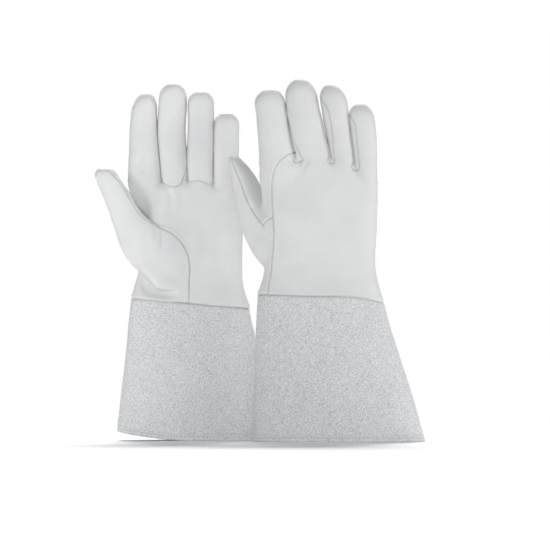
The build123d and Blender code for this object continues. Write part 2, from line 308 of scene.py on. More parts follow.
RIGHT = {
    "side": "right",
    "palm": 1,
    "hand": ((118, -8, 125.6), (138, -4.6, 118.4), (150, -0.2, 114.8), (160, 3.2, 112.2),
        (172, 4.6, 110.7), (190, 4.6, 111.2), (210, 3, 112.7), (235, 1.4, 113.4), (256, -0.1, 113.4),
        (286, -1, 113)),
    "hand_depth": ((118, -24, 24), (138, -23, 23), (156, -20.5, 20.5), (172, -19, 19), (210, -18.5, 19),
        (246, -15.5, 16), (266, -13, 13), (286, -12, 12)),
    "hand_top": ((-8, 264), (17, 268), (36, 272), (68, 271), (91, 264.5), (103, 261), (118, 257)),
    "wrist": ((-20, 142.8), (-2.5, 142.4), (45.6, 140.6), (91, 139.6), (103.8, 138), (120.3, 134.4),
        (135, 131.5)),
    "crotches": ((35.2, 273), (68.5, 272.2), (91.5, 265.6)),
    "fingers": (
        Digit("index", 15, -0.10, 2.1, None, PLAIN_STRIP,
              ((240, 1, 36), (256, -0.1, 36.2), (273, -0.9, 34.6), (286, -1.6, 31.4), (300, -2.4, 28.6),
               (315, -3.7, 26.2), (327, -5.5, 24.2), (341, -5.5, 22.6)),
              ((240, -13, 12.5), (268, -12.5, 12.5), (300, -10.5, 13), (340, -6, 15.5))),
        Digit("middle", 17.5, 0, 2, CROSSED_STRIP, PLAIN_STRIP,
              ((240, 37.5, 69), (262, 37, 69), (273, 35, 68.6), (282, 32.6, 67), (292, 30.4, 64.5),
               (304, 28.2, 61.5), (315, 26.5, 58.7), (330, 24.8, 55.2), (351, 24.3, 52.4)),
              ((240, -13, 12.5), (268, -12.8, 12.5), (305, -10.8, 13), (350, -6, 15.5))),
        Digit("ring", 15.5, 0.16, 2.05, RISING_STRIP, PLAIN_STRIP,
              ((240, 70, 91.5), (262, 69.4, 91.6), (273, 68.8, 90.4), (282, 67.3, 89.5),
               (295, 64.7, 87.9), (308, 61.9, 86.1), (322, 60, 84.6), (345, 57.4, 81)),
              ((240, -12.5, 12), (268, -12.3, 12), (300, -10.5, 12.5), (344, -6, 14.5))),
        Digit("little", 16, 0, 2, FALLING_STRIP, None,
              ((240, 92.5, 113.5), (258, 92, 113.5), (270, 90.8, 113.2), (281, 89.7, 112.8),
               (301, 87.2, 111.9), (315, 85.6, 110.6), (327, 84.8, 109.4)),
              ((240, -12, 11.5), (266, -11.5, 11.5), (295, -10, 11.5), (326, -6.5, 13))),
    ),
    "thumb": Digit("thumb", 9, -0.1, 2.2, None, None,
          ((-68, -6, 26), (-55, -12.2, 32), (-47, -15, 34), (-35, -17.6, 35), (-20, -18.4, 31),
           (-8, -17.6, 25), (9, -14.5, 18.2), (19, -12.5, 16.6), (31, -9.6, 15.2), (42, -6.6, 12.4),
           (51, -5, 9.2), (60, -4.5, 6.4)),
          ((-68, -12, 16), (-47, -15, 16), (-20, -14, 14), (3, -13, 12.5), (31, -11, 10.5),
           (57, -7.5, 7.5))),
    "thumb_end": 58,
    "thumb_lean": ((-68, 2), (-47, 5), (-20, 9), (3, 13), (31, 18), (57, 21)),
    "back_seam": ((7, 120), (7.4, 142.6), (8.2, 151), (10.2, 162), (11.6, 177), (12.6, 189), (13.3, 203),
        (12.4, 216), (11.2, 236), (11.6, 251.5), (13.6, 262), (18, 270), (25, 275.8), (31, 278.6),
        (34.6, 279.4), (34.6, 290)),
    "wing_seam": ((58, 120), (58.2, 150), (57.8, 176), (55, 184), (50, 191), (43, 198), (34, 203.5),
        (26, 207), (14, 214), (2, 228), (-8, 248)),
    "web_point": (2.8, 210.2),
    "dart": (-3.6, 314),
    "web_seam": ((24, 219.5), (12.6, 217), (8.2, 215.2), (5, 212.8), (2.6, 210), (-8, 201)),
    "thumb_line": ((-22, 3.2), (-15, 2.2), (-8, 0.6), (-1, -0.6), (10, -1.5), (31, -0.6), (46, -0.1),
        (54, 0.8), (60, 1.6)),
    "base_seams": {
        1: ((33, 275.5), (35.5, 271.5), (42, 268.5), (50, 266.8), (57, 268), (62, 270.5), (65.4, 274.5),
            (67.8, 280.5), (70, 288)),
        2: ((65, 264), (68.8, 266.8), (74, 270), (80, 271.4), (86, 269), (91.5, 263.6), (95, 261)),
    },
    "cuff_left": ((0, -8.3), (17, -7.7), (64, -5.9), (103, -5.1), (123, -3.9), (143, -2.5)),
    "cuff_right": ((0, 160.4), (40, 149.2), (79, 136.7), (108, 127.4), (134, 120.2)),
    "cuff_depth": ((0, 30), (70, 27), (138, 23)),
    "hem_lift": 0,
    "seeds": (8, 9, 47),
    "ball_fold": None,
    "hollows": (
        (-1, 1.1, (68, 256), (9, 12)), (-1, 0.9, (36, 258), (8, 10)), (-1, 0.8, (4, 245), (6, 22)),
        (1, 1.6, (62, 218), (18, 22)),
    ),
    "folds": (
        (-1, 2, 2.4, ((2.5, 208), (-3, 201), (-9, 193))),
        (-1, 1.7, 1.8, ((41.5, 277), (40, 270.5), (37.5, 264))),
        (-1, 1.7, 1.3, ((46.5, 274), (43.5, 267), (39.5, 261))),
        (-1, 2.8, 1.4, ((93, 262), (97, 254), (102, 246))),
        (-1, 4.5, 0.6, ((104, 163), (90, 158), (72, 158))),
        (1, 3.4, 1.8, ((18, 160), (32, 152), (52, 150))),
        (1, 3, 1.1, ((30, 232), (52, 240), (84, 243))),
    ),
}


def joint_of(name):
    return next(j for j in frame["joints"] if j["name"] == name)


def prepare(glove):
    """Reads the glove's plane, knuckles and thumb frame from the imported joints, and widens the
    fingers where they have side strips."""
    side = glove["side"]
    glove["plane"] = joint_of(f"{side}_middle_bend")["pos_m"][1] / MM
    for digit in glove["fingers"]:
        low, high = digit.outline[0][0], digit.outline[-1][0]
        left, right = (SWELL if digit.strips[turn] else 0.0 for turn in (-1, 1))
        rows = []
        for z, a, b in digit.outline:
            share = 1.0 - SWELL_TAPER * (z - low) / (high - low)
            rows.append((z, a - left * share, b + right * share))
        digit.outline = tuple(rows)
    glove["knuckles"] = {}
    for name in ("index", "middle", "ring", "little", "thumb"):
        joint = joint_of(f"{side}_{name}_bend")
        x, _, z = (v / MM for v in joint["pos_m"])
        sign = 1.0 if joint["axis"][0] > 0 else -1.0
        ax, az = sign * joint["axis"][0], sign * joint["axis"][2]
        glove["knuckles"][name] = {
            "x": x, "z": z, "across": (ax, az), "up": (-az, ax), "point": Vector(joint["pos_m"]),
        }


def to_thumb(glove, x, z):
    """(across, along) in the thumb's own frame."""
    knuckle = glove["knuckles"]["thumb"]
    dx, dz = x - knuckle["x"], z - knuckle["z"]
    across, up = knuckle["across"], knuckle["up"]
    return dx * across[0] + dz * across[1], dx * up[0] + dz * up[1]


# ---- distance fields


def section_place(x, h, s, outline, depth, inset=0.0):
    """Where a point lies in the section at s: -1 to 1 across, and -1 to 1 from back to palm."""
    left = smooth_curve(s, outline, 1) + inset
    right = smooth_curve(s, outline, 2) - inset
    back = smooth_curve(s, depth, 1) + inset
    front = smooth_curve(s, depth, 2) - inset
    u = (x - (left + right) / 2) / np.maximum((right - left) / 2, 1.0)
    v = (h - (back + front) / 2) / np.maximum((front - back) / 2, 1.0)
    return u, v


def section_value(place, power):
    """1 on the surface of a long form whose section is a rounded box."""
    u, v = place
    return (np.abs(u) ** power + np.abs(v) ** power) ** (1.0 / power)


def capped(value, s, low, low_cap, high, high_cap, bend=2.3):
    """The form closed by round ends at low and high."""
    rise = np.clip((s - (high - high_cap)) / high_cap, 0.0, None)
    fall = np.clip(((low + low_cap) - s) / low_cap, 0.0, None)
    end = np.maximum(rise, fall)
    return (value ** bend + end ** bend) ** (1.0 / bend)


def to_distance(value):
    """Turns a form's value on the grid into millimetres from its surface."""
    slopes = np.gradient(value, GRID)
    steep = np.sqrt(slopes[0] ** 2 + slopes[1] ** 2 + slopes[2] ** 2)
    return np.clip((value - 1.0) / np.maximum(steep, 0.012), -FAR, FAR)


def soft_min(a, b, soft):
    share = np.clip(0.5 + 0.5 * (b - a) / soft, 0.0, 1.0)
    return b * (1 - share) + a * share - soft * share * (1 - share)


def finger_shift(glove, number, z):
    """How far a finger is pushed sideways, at height z, while the surface is made."""
    gaps = [SLIT * smooth_step(z, top, top + SLIT_RISE) for _, top in glove["crotches"]]
    return (-gaps[0], np.zeros(np.shape(z)), gaps[1], gaps[1] + gaps[2])[number]


def thumb_shift(s):
    return THUMB_SLIT * smooth_step(s, 7.0, 19.0)


def gap_line(glove, number, z):
    """The x of the middle of the slit between finger `number` and the next one."""
    before, after = glove["fingers"][number], glove["fingers"][number + 1]
    return (smooth_curve(z, before.outline, 2) + smooth_curve(z, after.outline, 1)) / 2


def finger_value(glove, number, x, h, z, shift):
    digit = glove["fingers"][number]
    outline = digit.outline
    centre = (smooth_curve(z, outline, 1) + smooth_curve(z, outline, 2)) / 2
    root = smooth_curve(centre + shift, glove["hand_top"])
    inset = ROOT_INSET * (1.0 - smooth_step(z, root - 22.0, root - 2.0))
    value = section_value(section_place(x - shift, h, z, outline, digit.depth, inset), DIGIT_POWER)
    along = z + digit.slant * (x - shift - centre)
    return capped(value, along, outline[0][0], 10.0, outline[-1][0], digit.cap, digit.cap_power)


def thumb_value(glove, x, h, z, shift):
    across, s = to_thumb(glove, x, z)
    digit = glove["thumb"]
    lean = smooth_curve(s, glove["thumb_lean"])
    u, v = section_place(across, h - lean - shift, s, digit.outline, digit.depth)
    flat = smooth_step(u, -0.12, 0.22) * smooth_step(-v, -0.12, 0.22) * smooth_step(s, -30.0, -6.0)
    value = section_value((u, v), DIGIT_POWER - THUMB_FLAT * flat)
    along = s + digit.slant * across
    low = digit.outline[0][0]
    return capped(value, along, low, 14.0, glove["thumb_end"], digit.cap, digit.cap_power)


def window(axes, low, high):
    """The part of the grid between two corners, as slices and coordinate arrays."""
    slices = []
    for axis, a, b in zip(axes, low, high):
        first = max(0, int(np.searchsorted(axis, a)) - 1)
        last = min(len(axis), int(np.searchsorted(axis, b)) + 1)
        slices.append(slice(first, last))
    grids = np.meshgrid(*[axis[s] for axis, s in zip(axes, slices)], indexing="ij")
    return tuple(slices), grids


def hand_field(glove):
    """The distance to the whole hand's surface on a grid, in (x, h, z)."""
    hand = glove["hand"]
    low_x = min(hand[0][1], glove["knuckles"]["thumb"]["x"] - 50.0)
    high_x = hand[0][2] + 6.0
    high_z = max(d.outline[-1][0] for d in glove["fingers"]) + 5.0
    axes = [
        np.arange(low_x, high_x, GRID),
        np.arange(*GRID_DEPTH, GRID),
        np.arange(GRID_LOW, high_z, GRID),
    ]
    shape = [len(a) for a in axes]

    # The fingers, each in its own part of the grid
    fingers = np.full(shape, FAR)
    for number, digit in enumerate(glove["fingers"]):
        outline = digit.outline
        low = (min(p[1] for p in outline) - 13, -26, outline[0][0] - 6)
        high = (max(p[2] for p in outline) + 13, 28, outline[-1][0] + 5)
        part, (x, h, z) = window(axes, low, high)
        shift = finger_shift(glove, number, z)
        distance = to_distance(finger_value(glove, number, x, h, z, shift))
        fingers[part] = soft_min(fingers[part], distance, FINGER_SOFT)

    # The body of the hand, closed along the crotches
    body = np.full(shape, FAR)
    part, (x, h, z) = window(axes, (-1e3, -1e3, 0), (1e3, 1e3, 290))
    value = section_value(section_place(x, h, z, hand, glove["hand_depth"]), HAND_POWER)
    top = z - smooth_curve(x, glove["hand_top"])
    body[part] = to_distance(capped(value, top, -400.0, 10.0, 0.0, 9.0))
    total = soft_min(body, fingers, KNUCKLE_SOFT)

    # The hand draws back from the thumb above its root. The thumb then joins on, softly at its
    # ball and its web, and with hardly any rounding further up.
    x, h, z = np.meshgrid(*axes, indexing="ij")
    _, s = to_thumb(glove, x, z)
    near_thumb = to_distance(thumb_value(glove, x, h, z, 0.0))
    grown = -16.0 + 16.15 * smooth_step(s, 1.0, 15.0)
    total = np.maximum(total, np.where(s > -20, grown - near_thumb, -FAR))
    thumb = to_distance(thumb_value(glove, x, h, z, thumb_shift(s)))
    soft = 0.5 + 1.3 * (1 - smooth_step(s, -2.0, 14.0)) + 8.0 * (1 - smooth_step(s, -16.0, -3.0))
    soft = np.where((s < -24) & (h < 14), 0.6 + 5.0 * smooth_step(s, -52.0, -24.0), soft)
    total = soft_min(total, thumb, soft)

    near = np.abs(total) < RELIEF_REACH
    total[near] -= relief(glove, x[near], h[near], z[near])
    return axes, total


def valley(x, z, points, width, deep):
    """A soft crease along a line in (x, z), shallower towards its ends."""
    best = np.zeros(np.shape(x))
    path = rounded_line(points, 3)
    total = len(path) - 1
    for k, ((ax, az), (bx, bz)) in enumerate(zip(path[:-1], path[1:])):
        ux, uz = bx - ax, bz - az
        share = np.clip(((x - ax) * ux + (z - az) * uz) / (ux * ux + uz * uz), 0, 1)
        distance = np.hypot(x - ax - share * ux, z - az - share * uz)
        strength = np.sin(math.pi * np.clip(0.12 + 0.76 * (k + share) / total, 0, 1))
        best = np.maximum(best, strength * bell(distance, width))
    return deep * best


def relief(glove, x, h, z):
    """How far the leather stands out (+) or folds in (-) of the plain form."""
    sides = {side: smooth_step(side * h, 2.0, 9.0) for side in (1, -1)}
    out = np.zeros(np.shape(x))
    for (deep, size), seed in zip(UNEVEN, glove["seeds"]):
        out = out + deep * soft_noise(x, h, z, size, seed)
    for side, deep, centre, size in glove["hollows"]:
        out = out - sides[side] * deep * hill(x, z, centre, size)
    for side, width, deep, line in glove["folds"]:
        out = out - sides[side] * valley(x, z, line, width, deep)
    if glove["ball_fold"]:
        under = seam_side(x, z, glove["ball_fold"])
        span = sides[1] * smooth_step(x, -122.0, -112.0) * (1 - smooth_step(x, -92.0, -76.0))
        out = out - span * BALL_FOLD * smooth_step(under, -0.4, 1.4) * (1 - smooth_step(under, 5.0, 17.0))
        out = out + span * BALL_RISE * smooth_step(-under, -0.4, 4.0) * (1 - smooth_step(-under, 5.0, 18.0))
    return out * smooth_step(z, 128.0, 150.0)


# ---- triangle meshes


def surface_of(axes, field):
    """The zero surface of a field on a grid, as points and triangles facing outwards."""
    inside = field < 0
    shape = np.array(field.shape)
    corners = [(i, j, k) for i in (0, 1) for j in (0, 1) for k in (0, 1)]
    cells = shape - 1

    def corner(values, c):
        return values[c[0]:c[0] + cells[0], c[1]:c[1] + cells[1], c[2]:c[2] + cells[2]]

    count = sum(corner(inside, c).astype(np.int8) for c in corners)
    active = (count > 0) & (count < 8)
    number = np.full(cells, -1, np.int64)
    number[active] = np.arange(int(active.sum()))
    place = np.argwhere(active)
    values = np.stack([field[place[:, 0] + c[0], place[:, 1] + c[1], place[:, 2] + c[2]] for c in corners], 1)
    total = np.zeros((len(place), 3))
    weight = np.zeros(len(place))
    for a in range(8):
        for b in range(a + 1, 8):
            ca, cb = np.array(corners[a]), np.array(corners[b])
            if np.abs(ca - cb).sum() != 1:
                continue
            va, vb = values[:, a], values[:, b]
            crossed = (va < 0) != (vb < 0)
            share = np.where(crossed, va / np.where(crossed, va - vb, 1.0), 0.0)
            total += np.where(crossed[:, None], ca + share[:, None] * (cb - ca), 0.0)
            weight += crossed
    points = place + total / weight[:, None]
    starts = np.array([a[0] for a in axes])
    points = starts + points * GRID
    faces = []
    for axis in range(3):
        other = [k for k in range(3) if k != axis]
        step = [0, 0, 0]
        step[axis] = 1
        size = list(shape)
        size[axis] -= 1
        first = inside[:size[0], :size[1], :size[2]]
        second = inside[step[0]:, step[1]:, step[2]:]
        change = np.argwhere(first != second)
        change = change[(change[:, other[0]] > 0) & (change[:, other[1]] > 0)]
        change = change[(change[:, other[0]] < shape[other[0]] - 1)
                        & (change[:, other[1]] < shape[other[1]] - 1)]
        goes_out = inside[change[:, 0], change[:, 1], change[:, 2]]
        ring = []
        for da, db in ((-1, -1), (0, -1), (0, 0), (-1, 0)):
            spot = change.copy()
            spot[:, other[0]] += da
            spot[:, other[1]] += db
            ring.append(number[spot[:, 0], spot[:, 1], spot[:, 2]])
        quad = np.stack(ring, 1)
        flip = goes_out if axis != 1 else ~goes_out
        quad = np.where(flip[:, None], quad, quad[:, ::-1])
        faces.append(quad)
    quads = np.concatenate(faces)
    quads = quads[(quads >= 0).all(1)]
    diagonal_a = np.linalg.norm(points[quads[:, 0]] - points[quads[:, 2]], axis=1)
    diagonal_b = np.linalg.norm(points[quads[:, 1]] - points[quads[:, 3]], axis=1)
    short = (diagonal_a < diagonal_b)[:, None]
    tris = np.concatenate([
        np.where(short, quads[:, [0, 1, 2]], quads[:, [0, 1, 3]]),
        np.where(short, quads[:, [0, 2, 3]], quads[:, [1, 2, 3]]),
    ])
    return points, tris


class Skin:
    """Points, triangles, and numbers carried on the points."""

    def __init__(self, points, tris):
        self.points = points
        self.tris = tris
        self.data = {}

    def add_points(self, edges, shares):
        """New points on edges; returns the first new index."""
        first = len(self.points)
        a, b = edges[:, 0], edges[:, 1]
        t = shares[:, None]
        self.points = np.concatenate([self.points, self.points[a] * (1 - t) + self.points[b] * t])
        for key, values in self.data.items():
            if values.dtype.kind == "f":
                new = values[a] * (1 - shares) + values[b] * shares
            else:
                new = np.where(shares < 0.5, values[a], values[b])
            self.data[key] = np.concatenate([values, new])
        return first

    def edge_table(self):
        """The edges as pairs of points, and the three edges of each triangle."""
        tris = self.tris
        edges = np.concatenate([tris[:, [0, 1]], tris[:, [1, 2]], tris[:, [2, 0]]])
        key = edges.min(1) * len(self.points) + edges.max(1)
        unique, index = np.unique(key, return_inverse=True)
        unique = np.stack([unique // len(self.points), unique % len(self.points)], 1)
        return unique, index.reshape(3, -1).T

    def split_edges(self, edges, of_tri, picked, shares):
        """Puts a new point on each picked edge and splits the triangles there; returns the first
        new index."""
        first = self.add_points(edges[picked], shares)
        new_point = np.full(len(edges), -1)
        new_point[picked] = first + np.arange(len(picked))
        self.tris = split(self.tris, new_point[of_tri])
        return first

    def cut(self, field, allowed=True, seam=True):
        """Splits triangles along the line where field is 0, where that is allowed, and marks the
        points on it as a seam."""
        allowed = np.broadcast_to(allowed, len(self.points))
        field = np.array(field, float)
        field[np.abs(field) < 0.10] = 0.0
        edges, of_tri = self.edge_table()
        a, b = field[edges[:, 0]], field[edges[:, 1]]
        picked = np.flatnonzero((a * b < 0) & allowed[edges[:, 0]] & allowed[edges[:, 1]])
        shares = a[picked] / (a[picked] - b[picked])
        first = self.split_edges(edges, of_tri, picked, shares)
        if seam:
            old = self.data["seam"][:first] | ((field == 0.0) & allowed)
            self.data["seam"] = np.concatenate([old, np.ones(len(picked), bool)])

    def refine(self, close, longest):
        """Halves edges longer than `longest` whose ends are both close."""
        edges, of_tri = self.edge_table()
        length = np.linalg.norm(self.points[edges[:, 0]] - self.points[edges[:, 1]], axis=1)
        picked = np.flatnonzero((length > longest) & close[edges[:, 0]] & close[edges[:, 1]])
        both = {k: v[edges[picked, 0]] & v[edges[picked, 1]] for k, v in self.data.items() if v.dtype == bool}
        first = self.split_edges(edges, of_tri, picked, np.full(len(picked), 0.5))
        for key, value in both.items():
            self.data[key][first:] = value

    def keep(self, wanted):
        """Keeps only the wanted triangles and the points that they use."""
        tris = self.tris[wanted]
        used = np.unique(tris)
        index = np.full(len(self.points), -1)
        index[used] = np.arange(len(used))
        self.points, self.tris = self.points[used], index[tris]
        self.data = {key: values[used] for key, values in self.data.items()}

    def smooth(self, rounds, amount=0.5):
        """Evens out the surface without shrinking it. Its open edges stay where they are."""
        edges, _ = self.edge_table()
        both = np.concatenate([edges, edges[:, ::-1]])
        count = np.bincount(both[:, 0], minlength=len(self.points))
        open_points = self.border_points()
        for _ in range(rounds):
            for step in (amount, -amount * 1.04):
                mean = np.stack([
                    np.bincount(both[:, 0], self.points[both[:, 1], k], len(self.points)) for k in range(3)
                ], 1) / np.maximum(count, 1)[:, None]
                move = (mean - self.points) * step
                move[open_points] = 0
                self.points = self.points + move

    def border_points(self):
        edges, of_tri = self.edge_table()
        count = np.bincount(of_tri.ravel(), minlength=len(edges))
        flags = np.zeros(len(self.points), bool)
        flags[edges[count == 1].ravel()] = True
        return flags

    def normals(self):
        a, b, c = (self.points[self.tris[:, k]] for k in range(3))
        face = np.cross(b - a, c - a)
        total = np.stack([
            sum(np.bincount(self.tris[:, k], face[:, axis], len(self.points)) for k in range(3))
            for axis in range(3)
        ], 1)
        return total / np.maximum(np.linalg.norm(total, axis=1), 1e-9)[:, None]


def split(tris, mids):
    """Splits each triangle at the new points on its edges 01, 12 and 20 (-1 for none)."""
    count = (mids >= 0).sum(1)
    out = [tris[count == 0]]
    one = count == 1
    t, m = turned(tris[one], mids[one], (mids[one] >= 0).argmax(1) if one.any() else None)
    out += [np.stack([t[:, 0], m[:, 0], t[:, 2]], 1), np.stack([m[:, 0], t[:, 1], t[:, 2]], 1)]
    two = count == 2
    t, m = turned(tris[two], mids[two], ((mids[two] < 0).argmax(1) + 1) % 3 if two.any() else None)
    out += [
        np.stack([m[:, 0], t[:, 1], m[:, 1]], 1),
        np.stack([t[:, 0], m[:, 0], m[:, 1]], 1),
        np.stack([t[:, 0], m[:, 1], t[:, 2]], 1),
    ]
    three = count == 3
    t, m = tris[three], mids[three]
    out += [
        np.stack([t[:, 0], m[:, 0], m[:, 2]], 1),
        np.stack([m[:, 0], t[:, 1], m[:, 1]], 1),
        np.stack([m[:, 2], m[:, 1], t[:, 2]], 1),
        m,
    ]
    return np.concatenate(out)


def turned(tris, mids, start):
    """The triangles turned so that edge `start` comes first."""
    if start is None:
        return tris.reshape(0, 3), mids.reshape(0, 3)
    order = (start[:, None] + np.arange(3)) % 3
    return np.take_along_axis(tris, order, 1), np.take_along_axis(mids, order, 1)


# ---- seams of the hand


def knuckle_height(glove, x):
    """The height of the line that parts the fingers from the hand."""
    places, heights = [], []
    for number, digit in enumerate(glove["fingers"]):
        knuckle = glove["knuckles"][digit.name]
        slope = -knuckle["up"][0] / knuckle["up"][1]
        left = smooth_curve(knuckle["z"], digit.outline, 1)
        right = smooth_curve(knuckle["z"], digit.outline, 2)
        past_left, past_right = (-20.0 if number == 0 else 0.4), (20.0 if number == 3 else -0.4)
        for edge, reach in ((left, past_left), (right, past_right)):
            places.append(float(edge + reach))
            heights.append(float(knuckle["z"] + slope * (edge + reach - knuckle["x"])))
    return np.interp(x, places, heights)


def digit_place(digit, x, h, s, lean=0.0):
    """Where a point is in its digit's section, sideways and in depth, with 0 depth at the seams."""
    u, v = section_place(x, h - lean, s, digit.outline, digit.depth)
    end = digit.outline[-1][0]
    return u, v - TIP_SEAM * smooth_step(s, end - 24.0, end - 6.0)


def make_hand_skin(glove):
    axes, field = hand_field(glove)
    points, tris = surface_of(axes, field)
    skin = Skin(points, tris)
    skin.smooth(3)
    points = skin.points
    x, h, z = points.T

    # The thumb's points are those that lie deeper in its form than in the hand's and fingers'
    _, s = to_thumb(glove, x, z)
    thumb_here = thumb_value(glove, x, h, z, thumb_shift(s))
    hand_here = section_value(section_place(x, h, z, glove["hand"], glove["hand_depth"]), HAND_POWER)
    hand_here = np.where(z > smooth_curve(x, glove["hand_top"]) - 4, 9.0, hand_here)
    for number in range(4):
        shift = finger_shift(glove, number, z)
        hand_here = np.minimum(hand_here, finger_value(glove, number, x, h, z, shift))
    behind = thumb_depth(glove, x, h, z) < 0.0
    is_thumb = (s > np.where(behind, -18.0, -2.0)) & (thumb_here < hand_here)

    # The finger, or the part of the hand below it, by the slits between the fingers
    finger = np.zeros(len(points), np.int64)
    for number in range(3):
        push = (finger_shift(glove, number, z) + finger_shift(glove, number + 1, z)) / 2
        finger += x > gap_line(glove, number, z) + push

    # What was held apart goes back to its place
    moved = skin.points.copy()
    for number in range(4):
        here = (finger == number) & ~is_thumb
        moved[here, 0] -= finger_shift(glove, number, z[here])
    moved[is_thumb, 1] -= thumb_shift(s[is_thumb])
    skin.points = moved
    skin.data = {
        "finger": finger,
        "is_thumb": is_thumb,
        "seam": np.zeros(len(points), bool),
    }
    return skin


def cut_hand(glove, skin):
    """Cuts the skin along every seam and along the knuckles."""
    # The wrist, with what is below it left out
    x, h, z = skin.points.T
    skin.cut(z - smooth_curve(x, glove["wrist"]), seam=False)
    x, h, z = skin.points[skin.tris].mean(1).T
    skin.keep(z > smooth_curve(x, glove["wrist"]))

    # The knuckles and the thumb's root, where no seam shows
    x, h, z = skin.points.T
    skin.cut(z - knuckle_height(glove, x), ~skin.data["is_thumb"], seam=False)
    x, h, z = skin.points.T
    across, s = to_thumb(glove, x, z)
    root = skin.data["is_thumb"] | ((s < 3) & (s > -6) & (h > 0) & (np.abs(across) < 24))
    skin.cut(s, root, seam=False)

    # The strips between the fingers, the roots of the middle and ring finger, and the side seams
    for gap in range(3):
        for turn in (-1, 1):
            x, h, z = skin.points.T
            finger = skin.data["finger"]
            beside = (finger == gap) | (finger == gap + 1)
            mine = beside & ~skin.data["is_thumb"] & (h * turn > -1.0)
            mine &= z > glove["crotches"][gap][1] - 9.0
            field = strip_field(glove, gap, turn, finger, x, h, z)
            skin.cut(field, mine & (np.abs(field) < CUT_REACH))
    for number, line in glove["base_seams"].items():
        x, h, z = skin.points.T
        mine = (skin.data["finger"] == number) & ~skin.data["is_thumb"] & (h > 0.5)
        field = z - smooth_curve(x, line)
        skin.cut(field, mine & (np.abs(field) < CUT_REACH))
    single_seam(glove, skin, 0, -1, 0.84)
    single_seam(glove, skin, 3, 1, -0.4)
    cut_thumb(glove, skin)

    # The back panel and the thumb wing
    x, h, z = skin.points.T
    mine = ~skin.data["is_thumb"] & (z < knuckle_height(glove, x) + 10.0)
    mine &= z < glove["crotches"][0][1] + 12.0
    skin.cut(back_region(glove, x, h, z), mine)
    x, h, z = skin.points.T
    inside = (z < knuckle_height(glove, x) + 12) & ~skin.data["is_thumb"]
    inside &= (h > 3.0) | ((back_region(glove, x, h, z) < 0.4) & (x > glove["web_point"][0] - 0.4))
    skin.cut(wing_region(glove, x, h, z), inside)


def cut_thumb(glove, skin):
    """Cuts the two seams of the thumb's inner strip, and the seam over the thumb's tip."""
    x, h, z = skin.points.T
    web_x, web_z = glove["web_point"]
    near_web = (np.hypot(x - web_x, z - web_z) < 9.0) & (x < web_x + 0.4)
    mine = (skin.data["is_thumb"] | near_web) & (thumb_depth(glove, x, h, z) < 0.2)
    skin.cut(thumb_side(glove, x, z), mine)
    x, h, z = skin.points.T
    across, s = to_thumb(glove, x, z)
    mine = skin.data["is_thumb"] & (thumb_depth(glove, x, h, z) > 0.0) & (s > -4.0)
    field = thumb_palm_side(glove, x, h, z)
    skin.cut(field, mine & (np.abs(field) < CUT_REACH))
    x, h, z = skin.points.T
    across, s = to_thumb(glove, x, z)
    mine = skin.data["is_thumb"] & (s > glove["thumb_end"] - 8.0) & (across < 1.5)
    field = thumb_depth(glove, x, h, z) * 8.0
    skin.cut(field, mine & (np.abs(field) < CUT_REACH))


def strip_angle(glove, number, side, turn, x, h, z):
    """Millimetres by which a point is inside the strip on one side of a finger."""
    digit = glove["fingers"][number]
    base = glove["knuckles"][digit.name]["z"]
    share = (z - base) / (digit.outline[-1][0] - base)
    u, v = digit_place(digit, x, h, z)
    reach = np.radians(smooth_curve(share, digit.strips[side], 1 if turn < 0 else 2))
    return (reach - np.arctan2(v * turn, u * side)) * STRIP_RADIUS


def strip_field(glove, gap, turn, finger, x, h, z):
    """Positive on the strips that line the gap between two fingers, on the back of the hand
    where turn is -1 and on the palm side where it is 1."""
    drop, soft, loop = STRIP_ENDS[turn]
    own = np.where(
        finger <= gap,
        strip_angle(glove, gap, 1, turn, x, h, z),
        strip_angle(glove, gap + 1, -1, turn, x, h, z),
    )
    cx, cz = glove["crotches"][gap]
    above = soft_min(own, z - cz + drop, soft)
    return -soft_min(-above, np.hypot(x - cx, z - cz) - loop, 2.5)


def thumb_depth(glove, x, h, z):
    """Positive on the palm side of the thumb's side seams."""
    across, s = to_thumb(glove, x, z)
    return digit_place(glove["thumb"], across, h, s, smooth_curve(s, glove["thumb_lean"]))[1]


def thumb_side(glove, x, z):
    """Positive on the thumb's inner strip, seen from the back of the hand."""
    across, s = to_thumb(glove, x, z)
    return across - smooth_curve(s, glove["thumb_line"])


def thumb_palm_side(glove, x, h, z):
    """Positive on the thumb's inner strip, seen from the palm."""
    across, s = to_thumb(glove, x, z)
    u, v = digit_place(glove["thumb"], across, h, s, smooth_curve(s, glove["thumb_lean"]))
    reach = np.radians(smooth_curve(s / glove["thumb_end"], THUMB_STRIP))
    return (reach - np.arctan2(v, u)) * STRIP_RADIUS


def single_seam(glove, skin, number, side, lowest):
    """The one seam of a side without a strip: down the little finger, or round the index tip."""
    digit = glove["fingers"][number]
    x, h, z = skin.points.T
    u, v = digit_place(digit, x, h, z)
    base = glove["knuckles"][digit.name]["z"]
    share = (z - base) / (digit.outline[-1][0] - base)
    angle = np.arctan2(v, u * side)
    mine = (skin.data["finger"] == number) & ~skin.data["is_thumb"]
    mine &= (share > lowest) & (np.cos(angle) > 0.25)
    skin.cut(np.sin(angle) * STRIP_RADIUS, mine)


def back_region(glove, x, h, z):
    """Positive on the back panel: behind the middle plane and past the back seam."""
    return np.minimum(seam_side(x, z, glove["back_seam"]), -h * 0.9)


def wing_region(glove, x, h, z):
    """Positive on the thumb wing."""
    palm_line = -seam_side(x, z, glove["wing_seam"])
    web_line = -seam_side(x, z, glove["web_seam"])
    share = smooth_step(h, -6.0, 6.0)
    return palm_line * share + web_line * (1 - share)


